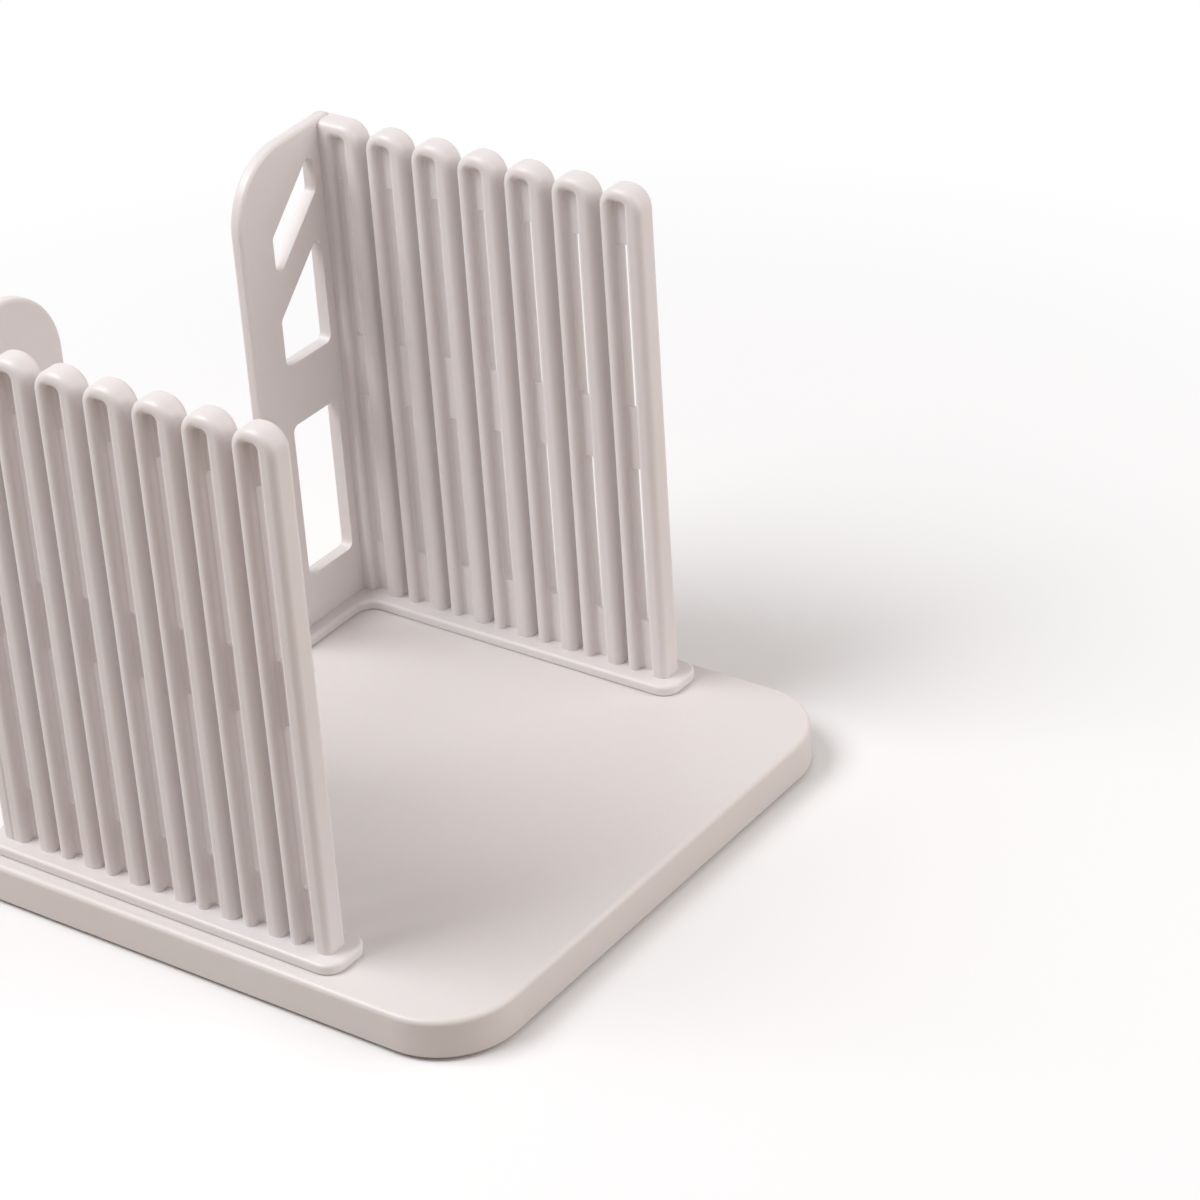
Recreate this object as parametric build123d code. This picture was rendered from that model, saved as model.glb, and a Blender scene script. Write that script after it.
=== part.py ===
from build123d import *
import os

# Bread slicing guide: a flat base that carries two upright comb guards, which plug in from above.
# Millimetres. X runs across the guide, Y from its front to its back, and Z up. The origin is the
# middle of the footprint, on the surface that the guide stands on. The right-hand guard is modelled
# in its place, and the left-hand one is its mirror image.

# ---- Comb guards ----
FINGER_COUNT = 7
FINGER_PITCH = 12.0         # from one knife slot to the next, which is the thickness that it cuts
KNIFE_SLOT = 1.7            # clear width between two fingers
REAR_ROD = 2.9              # thin rod at the back of each finger
GROOVE_WIDTH = 3.5          # groove between a finger's two rods
GUARD_THICKNESS = 6.0
GUARD_HEIGHT = 114.5        # finger height above the foot plate
BAY_WIDTH = 112.0           # clear width between the two guards
FINGER_TOP_RADIUS = 4.8     # rounding of a finger's top, seen from the side
FINGER_EDGE_RADIUS = 1.6    # rounding of a finger's long edges
GROOVE_EDGE_RADIUS = 1.2    # rounding of the groove's mouth
GROOVE_END_RADIUS = 1.0     # corners of the groove's upper end and of its windows
GROOVE_FLOOR_RADIUS = 0.7   # hollow where the web meets the rods
CAP_DEPTH = 3.1             # solid cap above the groove
WEB_THICKNESS = 1.0         # web that closes the groove
WEB_OFFSET = 0.4            # web's middle, this far from mid-thickness towards the bay
WEB_LEDGE = 0.25            # web left standing beside each window
LOW_WEB = 12.0              # closed web at the foot
BRIDGE_HEIGHT = 14.3        # closed bridge across the middle
BRIDGE_DROP = 50.7          # from a finger's top down to the bridge
WINDOW_DROP = 13.0          # from a finger's top down to its upper window

# ---- Stop wings across the back of the guards ----
WING_REACH = 28.0           # from the comb's inner face to the wing's free edge
WING_THICKNESS = 3.0
WING_RISE = 0.8             # wing above the fingers
WING_FALL = 1.5             # fall of the wing's top from the comb to its free edge
WING_CORNER_RADIUS = 16.0   # free top corner
WING_OUTER_RADIUS = 3.0     # top corner over the comb
WING_EDGE_RADIUS = 0.9
WING_STRIP = 2.5            # solid strip beside the comb
WING_POST = 10.0            # solid post at the free edge
WING_BAND = 4.5             # solid band above the slanting slot, beside the comb
WING_SLOT = 10.4            # height of the slanting slot
WING_BRACE = 9.0            # height of the brace below the slot
WING_WINDOW_RADIUS = 1.6

# ---- Foot plates ----
PLATE_THICKNESS = 2.4
PLATE_MARGIN = 3.2          # plate left showing round the comb and the wing
PLATE_CORNER_RADIUS = 4.0
PLATE_TOP_RADIUS = 0.8
PLATE_BEVEL = 0.35          # bevel of the lower edge, which leaves a thin shadow line

# ---- Tenons under the foot plates, and their sockets in the base ----
TENON_THICKNESS = 3.6
COMB_TENON_LENGTH = 16.0
WING_TENON_LENGTH = 12.0
TENON_DEPTH = 6.0
TENON_BEVEL = 0.8
TENON_INSET = 18.0          # tenon centre from either end of the comb
SOCKET_CLEARANCE = 0.25     # between a tenon and its socket, on every side
SOCKET_FLOOR_GAP = 0.3      # between a tenon's end and the lower edge of the socket's wall
SOCKET_WALL = 1.4

# ---- Base ----
BASE_MARGIN = 3.2           # base left showing outside the foot plates
APRON = 33.5                # base in front of the foot plates
BASE_HEIGHT = 8.8
BASE_SKIN = 2.4
BASE_WALL = 2.4
FRONT_CORNER_RADIUS = 17.0
BACK_CORNER_RADIUS = 7.0
BASE_TOP_RADIUS = 1.2
BASE_LOW_RADIUS = 0.5
RIB_THICKNESS = 1.5
RIB_SETBACK = 0.6           # ribs end this far above the skirt's lower edge
RIBS_EACH_WAY = 2

# ---- Foot pads ----
PAD_DIAMETER = 10.0
PAD_PROJECTION = 0.8        # pad below the skirt
PAD_RECESS = 1.6            # pad inside the base
PAD_CLEARANCE = 0.2
PAD_BOSS_WALL = 1.8
PAD_INSET = 11.5            # pad centre from the sides of the base
PAD_EDGE_RADIUS = 0.4

# ---- Derived sizes ----
FINGER_WIDTH = FINGER_PITCH - KNIFE_SLOT
FRONT_ROD = FINGER_WIDTH - REAR_ROD - GROOVE_WIDTH
GROOVE_MIDDLE = FRONT_ROD + GROOVE_WIDTH / 2
COMB_LENGTH = FINGER_COUNT * FINGER_PITCH - KNIFE_SLOT
WINDOW_TOP = GUARD_HEIGHT - WINDOW_DROP
BRIDGE_TOP = GUARD_HEIGHT - BRIDGE_DROP
BRIDGE_LOW = BRIDGE_TOP - BRIDGE_HEIGHT
FRAME_MARGIN = PLATE_MARGIN + BASE_MARGIN
BASE_LENGTH = APRON + PLATE_MARGIN + COMB_LENGTH + WING_THICKNESS + FRAME_MARGIN
BASE_WIDTH = BAY_WIDTH + 2 * (GUARD_THICKNESS + FRAME_MARGIN)
BASE_TOP = PAD_PROJECTION + BASE_HEIGHT
PLATE_TOP = BASE_TOP + PLATE_THICKNESS
COMB_INNER = BAY_WIDTH / 2
COMB_OUTER = COMB_INNER + GUARD_THICKNESS
COMB_MIDDLE = COMB_INNER + GUARD_THICKNESS / 2
COMB_FRONT = APRON + PLATE_MARGIN - BASE_LENGTH / 2
COMB_BACK = COMB_FRONT + COMB_LENGTH
WING_MIDDLE = COMB_BACK + WING_THICKNESS / 2
WING_BACK = COMB_BACK + WING_THICKNESS
WING_TOP = PLATE_TOP + GUARD_HEIGHT + WING_RISE
WING_EDGE = COMB_INNER - WING_REACH
WING_CENTRE = COMB_INNER - WING_REACH / 2

STANDING = (Align.CENTER, Align.CENTER, Align.MIN)
HANGING = (Align.CENTER, Align.CENTER, Align.MAX)
PAST = 1.0                  # how far a cutting tool runs past a face
TOUCH = 0.01                # how close counts as on a face


def on_faces(edge):
    """Whether an edge lies in the inner or the outer face of a finger."""
    return abs(abs(edge.center().X) - GUARD_THICKNESS / 2) < TOUCH


def groove_shape(width, low, high):
    """Side-view face of a groove or window from low to high, with rounded corners."""
    outline = Pos(GROOVE_MIDDLE, low) * Rectangle(width, high - low, align=(Align.CENTER, Align.MIN))
    return Plane.YZ * fillet(outline.vertices(), GROOVE_END_RADIUS)


def groove_tool(floor, depth):
    """Tool for the groove in one face of a finger, from its floor at x = floor outwards."""
    shape = groove_shape(GROOVE_WIDTH, -PAST - GROOVE_END_RADIUS, GUARD_HEIGHT - CAP_DEPTH)
    tool = Pos(floor, 0, 0) * extrude(shape, depth)
    floor_edges = [edge for edge in tool.edges() if abs(edge.center().X - floor) < TOUCH]
    return fillet(floor_edges, GROOVE_FLOOR_RADIUS)


def grooved_slab():
    """Slab round a finger, as thick as it, with its two grooves and the windows through its web."""
    slab = Box(GUARD_THICKNESS, FINGER_WIDTH + 2 * PAST, GUARD_HEIGHT + 2 * PAST, align=STANDING)
    slab = Pos(0, FINGER_WIDTH / 2, -PAST) * slab
    slab -= groove_tool(WEB_THICKNESS / 2 - WEB_OFFSET, GUARD_THICKNESS)
    slab -= groove_tool(-WEB_THICKNESS / 2 - WEB_OFFSET, -GUARD_THICKNESS)
    reach = GROOVE_WIDTH / 2 + TOUCH
    mouth = [edge for edge in slab.edges() if on_faces(edge) and abs(edge.center().Y - GROOVE_MIDDLE) < reach
             and edge.center().Z < GUARD_HEIGHT]
    slab = fillet(mouth, GROOVE_EDGE_RADIUS)
    for low, high in ((LOW_WEB, BRIDGE_LOW), (BRIDGE_TOP, WINDOW_TOP)):
        slab -= extrude(groove_shape(GROOVE_WIDTH - 2 * WEB_LEDGE, low, high), GUARD_THICKNESS, both=True)
    return slab


def finger(is_last):
    """One finger, front end at y = 0, foot at z = 0, centred on x = 0. The last one meets the wing."""
    outline = Rectangle(FINGER_WIDTH, GUARD_HEIGHT, align=Align.MIN)
    top_corners = outline.vertices().group_by(Axis.Y)[-1].sort_by(Axis.X)
    rounded = top_corners[:1] if is_last else top_corners
    body = extrude(Plane.YZ * fillet(rounded, FINGER_TOP_RADIUS), GUARD_THICKNESS / 2, both=True)
    long_edges = [edge for edge in body.edges() if on_faces(edge) and edge.center().Z > TOUCH]
    if is_last:
        long_edges = [edge for edge in long_edges if edge.center().Y < FINGER_WIDTH - TOUCH]
    return fillet(long_edges, FINGER_EDGE_RADIUS) & grooved_slab()


def comb():
    """All the fingers of one guard, standing on its foot plate."""
    usual = finger(False)
    fingers = [Pos(0, index * FINGER_PITCH, 0) * usual for index in range(FINGER_COUNT - 1)]
    fingers.append(Pos(0, (FINGER_COUNT - 1) * FINGER_PITCH, 0) * finger(True))
    return [Pos(COMB_MIDDLE, COMB_FRONT, PLATE_TOP) * one for one in fingers]


def wing_window(low, high, low_drop, high_drop):
    """Tool for one window of the wing. Its lower and upper ends fall towards the post by their drops."""
    inner = COMB_INNER - WING_STRIP
    outer = WING_EDGE + WING_POST
    outline = Polyline((inner, low), (outer, low - low_drop), (outer, high - high_drop), (inner, high), close=True)
    face = make_face(outline)
    face = Plane.XZ * fillet(face.vertices(), WING_WINDOW_RADIUS)
    return Pos(0, WING_MIDDLE, 0) * extrude(face, WING_THICKNESS, both=True)


def wing():
    """Stop wing across the back end of the comb: a plate with a slanting slot and two windows."""
    free_top = WING_TOP - WING_FALL
    outline = Polyline((WING_EDGE, PLATE_TOP), (COMB_OUTER, PLATE_TOP), (COMB_OUTER, WING_TOP),
                       (WING_EDGE, free_top), close=True)
    face = make_face(outline)
    face = fillet(face.vertices().sort_by_distance((WING_EDGE, free_top, 0))[0], WING_CORNER_RADIUS)
    face = fillet(face.vertices().sort_by_distance((COMB_OUTER, WING_TOP, 0))[0], WING_OUTER_RADIUS)
    plate = Pos(0, WING_MIDDLE, 0) * extrude(Plane.XZ * face, WING_THICKNESS / 2, both=True)
    rims = [plate.faces().sort_by(Axis.Y)[0], plate.faces().sort_by(Axis.Y)[-1]]
    edges = [edge for rim in rims for edge in rim.edges() if edge.center().Z > PLATE_TOP + TOUCH]
    plate = fillet(edges, WING_EDGE_RADIUS)
    slant = WING_REACH - WING_STRIP - WING_POST
    slot_top = PLATE_TOP + GUARD_HEIGHT - WING_BAND
    slot_low = slot_top - WING_SLOT
    plate -= wing_window(PLATE_TOP + LOW_WEB, PLATE_TOP + BRIDGE_LOW, 0, 0)
    plate -= wing_window(PLATE_TOP + BRIDGE_TOP, slot_low - WING_BRACE, 0, slant)
    plate -= wing_window(slot_low, slot_top, slant, slant)
    return plate


def foot_plate():
    """L-shaped plate under the comb and the wing."""
    outer = COMB_OUTER + PLATE_MARGIN
    inner = COMB_INNER - PLATE_MARGIN
    tip = WING_EDGE - PLATE_MARGIN
    front = COMB_FRONT - PLATE_MARGIN
    step = COMB_BACK - PLATE_MARGIN
    back = WING_BACK + PLATE_MARGIN
    outline = Polyline((inner, front), (outer, front), (outer, back), (tip, back), (tip, step),
                       (inner, step), close=True)
    face = make_face(outline)
    face = fillet(face.vertices(), PLATE_CORNER_RADIUS)
    plate = Pos(0, 0, BASE_TOP) * extrude(face, PLATE_THICKNESS)
    plate = fillet(plate.faces().sort_by(Axis.Z)[-1].edges(), PLATE_TOP_RADIUS)
    return chamfer(plate.faces().sort_by(Axis.Z)[0].edges(), PLATE_BEVEL)


def tenon_places():
    """Centre (x, y) and plan size (x, y) of each tenon of the right-hand guard."""
    return [
        (COMB_MIDDLE, COMB_FRONT + TENON_INSET, TENON_THICKNESS, COMB_TENON_LENGTH),
        (COMB_MIDDLE, COMB_BACK - TENON_INSET, TENON_THICKNESS, COMB_TENON_LENGTH),
        (WING_CENTRE, WING_MIDDLE, WING_TENON_LENGTH, TENON_THICKNESS),
    ]


def tenons():
    """Pegs under the foot plate, bevelled at their lower end."""
    pegs = []
    for x, y, size_x, size_y in tenon_places():
        peg = Box(size_x, size_y, TENON_DEPTH, align=HANGING)
        peg = chamfer(peg.faces().sort_by(Axis.Z)[0].edges(), TENON_BEVEL)
        pegs.append(Pos(x, y, BASE_TOP) * peg)
    return pegs


def right_guard():
    """The right-hand guard as one moulding."""
    return foot_plate() + comb() + wing() + tenons()


def base_outline(inset):
    """Plan outline of the base, drawn in by inset on every side."""
    outline = Rectangle(BASE_WIDTH - 2 * inset, BASE_LENGTH - 2 * inset)
    outline = fillet(outline.vertices().group_by(Axis.Y)[-1], BACK_CORNER_RADIUS - inset)
    return fillet(outline.vertices().group_by(Axis.Y)[0], FRONT_CORNER_RADIUS - inset)


def cavity():
    """Hollow under the base's top skin."""
    return Pos(0, 0, PAD_PROJECTION) * extrude(base_outline(BASE_WALL), BASE_HEIGHT - BASE_SKIN)


def base_ribs():
    """Crossing ribs that stiffen the skin, trimmed to the hollow."""
    height = BASE_HEIGHT - BASE_SKIN - RIB_SETBACK
    low = PAD_PROJECTION + RIB_SETBACK
    ribs = []
    for index in range(1, RIBS_EACH_WAY + 1):
        share = index / (RIBS_EACH_WAY + 1) - 0.5
        ribs.append(Pos(BASE_WIDTH * share, 0, low) * Box(RIB_THICKNESS, BASE_LENGTH, height, align=STANDING))
        ribs.append(Pos(0, BASE_LENGTH * share, low) * Box(BASE_WIDTH, RIB_THICKNESS, height, align=STANDING))
    hollow = cavity()
    return [rib & hollow for rib in ribs]


def socket_blocks(grow):
    """Block round each tenon on both sides of the guide, larger than it by grow in plan."""
    blocks = []
    for x, y, size_x, size_y in tenon_places():
        block = Box(size_x + 2 * grow, size_y + 2 * grow, TENON_DEPTH + SOCKET_FLOOR_GAP, align=HANGING)
        blocks.append(Pos(x, y, BASE_TOP) * block)
        blocks.append(Pos(-x, y, BASE_TOP) * block)
    return blocks


def pad_places():
    """Centre (x, y) of each foot pad, by the name of its corner."""
    x = BASE_WIDTH / 2 - PAD_INSET
    y = BASE_LENGTH / 2 - PAD_INSET
    return {"front_left": (-x, -y), "front_right": (x, -y), "back_left": (-x, y), "back_right": (x, y)}


def base_plate():
    """Base: a skin and a skirt, with ribs, sockets for the tenons and recesses for the pads."""
    base = Pos(0, 0, PAD_PROJECTION) * extrude(base_outline(0), BASE_HEIGHT)
    base = fillet(base.faces().sort_by(Axis.Z)[-1].edges(), BASE_TOP_RADIUS)
    base = fillet(base.faces().sort_by(Axis.Z)[0].edges(), BASE_LOW_RADIUS)
    base -= cavity()
    recess_radius = PAD_DIAMETER / 2 + PAD_CLEARANCE
    boss = Cylinder(recess_radius + PAD_BOSS_WALL, BASE_HEIGHT - BASE_SKIN, align=STANDING)
    recess = Cylinder(recess_radius, PAD_RECESS, align=STANDING)
    pads = [Pos(x, y, PAD_PROJECTION) for x, y in pad_places().values()]
    base = base + base_ribs() + [pad * boss for pad in pads] + socket_blocks(SOCKET_CLEARANCE + SOCKET_WALL)
    return base - socket_blocks(SOCKET_CLEARANCE) - [pad * recess for pad in pads]


def foot_pad(x, y):
    """Rubber pad that fills its recess and stands proud of the skirt."""
    pad = Cylinder(PAD_DIAMETER / 2, PAD_PROJECTION + PAD_RECESS, align=STANDING)
    pad = fillet(pad.faces().sort_by(Axis.Z)[0].edges(), PAD_EDGE_RADIUS)
    return Pos(x, y, 0) * pad


def build():
    """Every sub-part, by the name of its node."""
    guard = right_guard()
    parts = {"base_plate": base_plate(), "right_guard": guard, "left_guard": mirror(guard, Plane.YZ)}
    for corner, (x, y) in pad_places().items():
        parts["foot_pad_" + corner] = foot_pad(x, y)
    return parts


os.makedirs("parts", exist_ok=True)
for name, solid in build().items():
    export_step(solid, "parts/" + name + ".step")
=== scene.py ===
"""Bread slicing guide: finishes, floor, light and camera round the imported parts. Metres, Z up."""
import math

import bpy
from mathutils import Matrix, Vector

# ---- Camera, in the row frame ----
CAMERA_POSITION = Vector((-0.5198, -0.4375, 0.4436))
CAMERA_AZIMUTH = math.radians(-53.5)    # 0 looks along +Y
CAMERA_ELEVATION = math.radians(30.15)
CAMERA_ROLL = math.radians(-3.83)
CAMERA_NEAR = 0.01                      # nothing closer than this is drawn
SENSOR = 36.0                           # mm
LENS = 114.96                           # mm

# ---- Colours, linear ----
GUARD_WHITE = (0.80, 0.765, 0.765)
BASE_WHITE = (0.79, 0.755, 0.745)
PAD_GREY = (0.42, 0.42, 0.41)
CLOUD_TINT = (0.99, 0.975, 0.965)       # times the colour of the plastic
DUST_TINT = (1.15, 1.14, 1.12)          # times the colour of the pads
FLOOR_SEEN = (0.97, 0.97, 0.97)         # floor as the camera sees it
FLOOR_BOUNCE = (0.42, 0.35, 0.29)       # floor as it lights the object
BACKDROP = (1.0, 1.0, 1.0)

# ---- Noises: scale per metre, detail ----
CLOUDS = (14.0, 2.0)
SHEEN = (20.0, 1.0)
RIPPLES = (60.0, 1.0)
GRAIN = (3200.0, 2.0)
PAD_PATCHES = (300.0, 3.0)
PAD_GRAIN = (4000.0, 2.0)
NOISE_MIDDLE = (0.35, 0.65)             # part of a noise's range that is stretched to a full one

# ---- Relief: height, strength ----
RIPPLE_RELIEF = (0.0002, 0.15)
GRAIN_RELIEF = (0.00003, 0.3)
PAD_RELIEF = (0.00006, 0.5)

# ---- Surfaces ----
GUARD_ROUGHNESS = (0.30, 0.38)          # from end to end: below 0.28 the denoiser leaves marks
BASE_ROUGHNESS = (0.36, 0.46)
PAD_ROUGHNESS = 0.75
FLOOR_ROUGHNESS = 0.7
PLASTIC_IOR = 1.49
SCATTER_SHARE = 0.3                     # of the light, let into the plastic
SCATTER_DEPTH = 0.0016
SCATTER_REACH = (1.0, 0.7, 0.55)        # red, green and blue, times the depth

# ---- Light ----
SKY_COLOUR = (1.0, 0.93, 0.91)
SKY_STRENGTH = 0.32
LAMP_TARGET = Vector((0.0, 0.0, 0.06))
KEY_POSITION = Vector((-0.4, 0.42, 0.85))
KEY_SIZE = 0.6
KEY_SHARE = 0.80                        # brightness that it gives a white surface facing it
KEY_COLOUR = (0.98, 0.985, 1.0)
FILL_POSITION = Vector((0.35, -0.75, 0.48))
FILL_SIZE = 0.8
FILL_SHARE = 0.50
FILL_COLOUR = (1.0, 0.965, 0.95)

# ---- Floor ----
FLOOR_RADIUS = 6.0
FLOOR_CORNERS = 128
FLOOR_CLEAR = 0.10                      # lit plainly up to here, before it fades into the backdrop
FLOOR_FADE = 0.35                       # the backdrop's white from here on


def principled(name):
    """New node material, with its tree and its shader."""
    material = bpy.data.materials.new(name)
    material.use_nodes = True
    tree = material.node_tree
    return material, tree, tree.nodes["Principled BSDF"]


def tinted(colour, tint):
    """Colour times a tint."""
    return tuple(part * times for part, times in zip(colour, tint))


def noise(tree, scale, detail):
    """Noise texture in object space, which is the row frame in metres."""
    place = tree.nodes.new("ShaderNodeTexCoord")
    texture = tree.nodes.new("ShaderNodeTexNoise")
    texture.inputs["Scale"].default_value = scale
    texture.inputs["Detail"].default_value = detail
    tree.links.new(place.outputs["Object"], texture.inputs["Vector"])
    return texture.outputs["Fac"]


def remap(tree, value, source, target):
    """Value stretched from the source range to the target range."""
    node = tree.nodes.new("ShaderNodeMapRange")
    for name, end in zip(("From Min", "From Max", "To Min", "To Max"), (*source, *target)):
        node.inputs[name].default_value = end
    tree.links.new(value, node.inputs["Value"])
    return node.outputs["Result"]


def calculate(tree, operation, first, second):
    """Result of a math operation on two values."""
    node = tree.nodes.new("ShaderNodeMath")
    node.operation = operation
    tree.links.new(first, node.inputs[0])
    tree.links.new(second, node.inputs[1])
    return node.outputs["Value"]


def blend_colours(tree, factor, first, second):
    """Colour from first to second as factor goes from 0 to 1."""
    ramp = tree.nodes.new("ShaderNodeValToRGB")
    ramp.color_ramp.elements[0].color = (*first, 1.0)
    ramp.color_ramp.elements[1].color = (*second, 1.0)
    tree.links.new(factor, ramp.inputs["Fac"])
    return ramp.outputs["Color"]


def blend_shaders(tree, factor, first, second, output):
    """Send the output's surface first where factor is 0 and second where it is 1."""
    mix = tree.nodes.new("ShaderNodeMixShader")
    tree.links.new(factor, mix.inputs[0])
    tree.links.new(first, mix.inputs[1])
    tree.links.new(second, mix.inputs[2])
    tree.links.new(mix.outputs["Shader"], tree.nodes[output].inputs["Surface"])


def bump(tree, height, distance, strength, before=None):
    """Bump of a height, on top of another bump if one is given."""
    node = tree.nodes.new("ShaderNodeBump")
    node.inputs["Distance"].default_value = distance
    node.inputs["Strength"].default_value = strength
    tree.links.new(height, node.inputs["Height"])
    if before is not None:
        tree.links.new(before, node.inputs["Normal"])
    return node.outputs["Normal"]


def moulded_plastic(name, colour, roughness):
    """Satin moulded plastic: faintly cloudy colour, slow changes of sheen and ripple, fine grain."""
    material, tree, shader = principled(name)
    cloudy = remap(tree, noise(tree, *CLOUDS), NOISE_MIDDLE, (0.0, 1.0))
    clouded = blend_colours(tree, cloudy, colour, tinted(colour, CLOUD_TINT))
    tree.links.new(clouded, shader.inputs["Base Color"])
    sheen = remap(tree, noise(tree, *SHEEN), NOISE_MIDDLE, roughness)
    tree.links.new(sheen, shader.inputs["Roughness"])
    ripple = bump(tree, noise(tree, *RIPPLES), *RIPPLE_RELIEF)
    grain = bump(tree, noise(tree, *GRAIN), *GRAIN_RELIEF, ripple)
    tree.links.new(grain, shader.inputs["Normal"])
    shader.inputs["IOR"].default_value = PLASTIC_IOR
    shader.inputs["Subsurface Weight"].default_value = SCATTER_SHARE
    shader.inputs["Subsurface Radius"].default_value = SCATTER_REACH
    shader.inputs["Subsurface Scale"].default_value = SCATTER_DEPTH
    return material


def pad_rubber():
    """Matte rubber with a fine moulded grain."""
    material, tree, shader = principled("pad_rubber")
    patchy = noise(tree, *PAD_PATCHES)
    dusty = blend_colours(tree, patchy, PAD_GREY, tinted(PAD_GREY, DUST_TINT))
    tree.links.new(dusty, shader.inputs["Base Color"])
    tree.links.new(bump(tree, noise(tree, *PAD_GRAIN), *PAD_RELIEF), shader.inputs["Normal"])
    shader.inputs["Roughness"].default_value = PAD_ROUGHNESS
    return material


def dress(nodes):
    """Give each part the finish of its moulding."""
    guard = moulded_plastic("guard_plastic", GUARD_WHITE, GUARD_ROUGHNESS)
    base = moulded_plastic("base_plastic", BASE_WHITE, BASE_ROUGHNESS)
    pad = pad_rubber()
    for name, node in nodes.items():
        if name == "base_plate":
            finish = base
        elif name.startswith("foot_pad"):
            finish = pad
        else:
            finish = guard
        for slot in node.material_slots:
            slot.material = finish


def seen_as_white(tree):
    """1 for what the camera sees, straight or in a mirror or glass, and 0 for the light itself."""
    path = tree.nodes.new("ShaderNodeLightPath")
    seen = path.outputs["Is Camera Ray"]
    for ray in ("Is Glossy Ray", "Is Transmission Ray"):
        seen = calculate(tree, "MAXIMUM", seen, path.outputs[ray])
    return seen


def sky():
    """World: a soft even light, which shows as plain white."""
    world = bpy.data.worlds.new("studio")
    world.use_nodes = True
    bpy.context.scene.world = world
    tree = world.node_tree
    light = tree.nodes["Background"]
    light.inputs["Color"].default_value = (*SKY_COLOUR, 1.0)
    light.inputs["Strength"].default_value = SKY_STRENGTH
    white = tree.nodes.new("ShaderNodeBackground")
    white.inputs["Color"].default_value = (*BACKDROP, 1.0)
    white.inputs["Strength"].default_value = 1.0
    blend_shaders(tree, seen_as_white(tree), light.outputs["Background"],
                  white.outputs["Background"], "World Output")


def floor_finish():
    """Pale floor that takes the object's shadow, and fades to the backdrop's white further out."""
    material, tree, shader = principled("pale_floor")
    seen = seen_as_white(tree)
    tint = blend_colours(tree, seen, FLOOR_BOUNCE, FLOOR_SEEN)
    tree.links.new(tint, shader.inputs["Base Color"])
    shader.inputs["Roughness"].default_value = FLOOR_ROUGHNESS
    place = tree.nodes.new("ShaderNodeTexCoord")
    distance = tree.nodes.new("ShaderNodeVectorMath")
    distance.operation = "LENGTH"
    tree.links.new(place.outputs["Object"], distance.inputs[0])
    far = remap(tree, distance.outputs["Value"], (FLOOR_CLEAR, FLOOR_FADE), (0.0, 1.0))
    white = tree.nodes.new("ShaderNodeEmission")
    white.inputs["Color"].default_value = (*BACKDROP, 1.0)
    white.inputs["Strength"].default_value = 1.0
    blend_shaders(tree, calculate(tree, "MULTIPLY", far, seen), shader.outputs["BSDF"],
                  white.outputs["Emission"], "Material Output")
    return material


def floor():
    """Round floor under the object."""
    bpy.ops.mesh.primitive_circle_add(vertices=FLOOR_CORNERS, radius=FLOOR_RADIUS, fill_type="NGON")
    disc = bpy.context.object
    disc.name = "floor"
    disc.data.materials.append(floor_finish())


def lamp(name, position, size, share, colour):
    """Square lamp aimed at the object, which gives a white surface facing it a brightness of share."""
    data = bpy.data.lights.new(name, "AREA")
    data.size = size
    data.color = colour
    aim = LAMP_TARGET - position
    data.energy = share * math.pi ** 2 * aim.length_squared
    lamp_object = bpy.data.objects.new(name, data)
    lamp_object.location = position
    lamp_object.rotation_euler = aim.to_track_quat("-Z", "Y").to_euler()
    bpy.context.scene.collection.objects.link(lamp_object)


def camera():
    """Camera at the photograph's place, from its azimuth, elevation and roll."""
    level = math.cos(CAMERA_ELEVATION)
    back = Vector((math.sin(CAMERA_AZIMUTH) * level, -math.cos(CAMERA_AZIMUTH) * level,
                   math.sin(CAMERA_ELEVATION)))
    right = (-back).cross(Vector((0.0, 0.0, 1.0))).normalized()
    up = right.cross(-back)
    rolled_right = right * math.cos(CAMERA_ROLL) + up * math.sin(CAMERA_ROLL)
    rolled_up = up * math.cos(CAMERA_ROLL) - right * math.sin(CAMERA_ROLL)
    data = bpy.data.cameras.new("camera")
    data.sensor_width = SENSOR
    data.lens = LENS
    data.clip_start = CAMERA_NEAR
    camera_object = bpy.data.objects.new("camera", data)
    turn = Matrix((rolled_right, rolled_up, back)).transposed()
    camera_object.matrix_world = Matrix.Translation(CAMERA_POSITION) @ turn.to_4x4()
    bpy.context.scene.collection.objects.link(camera_object)
    bpy.context.scene.camera = camera_object


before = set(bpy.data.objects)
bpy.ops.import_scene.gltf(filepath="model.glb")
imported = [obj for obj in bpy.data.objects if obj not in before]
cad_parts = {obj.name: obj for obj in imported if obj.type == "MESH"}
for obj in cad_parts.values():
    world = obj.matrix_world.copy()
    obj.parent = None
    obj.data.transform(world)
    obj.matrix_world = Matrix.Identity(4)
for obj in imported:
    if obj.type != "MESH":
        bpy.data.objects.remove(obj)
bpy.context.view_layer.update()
bpy.context.scene.view_settings.view_transform = "Standard"
dress(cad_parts)
sky()
floor()
lamp("key", KEY_POSITION, KEY_SIZE, KEY_SHARE, KEY_COLOUR)
lamp("fill", FILL_POSITION, FILL_SIZE, FILL_SHARE, FILL_COLOUR)
camera()
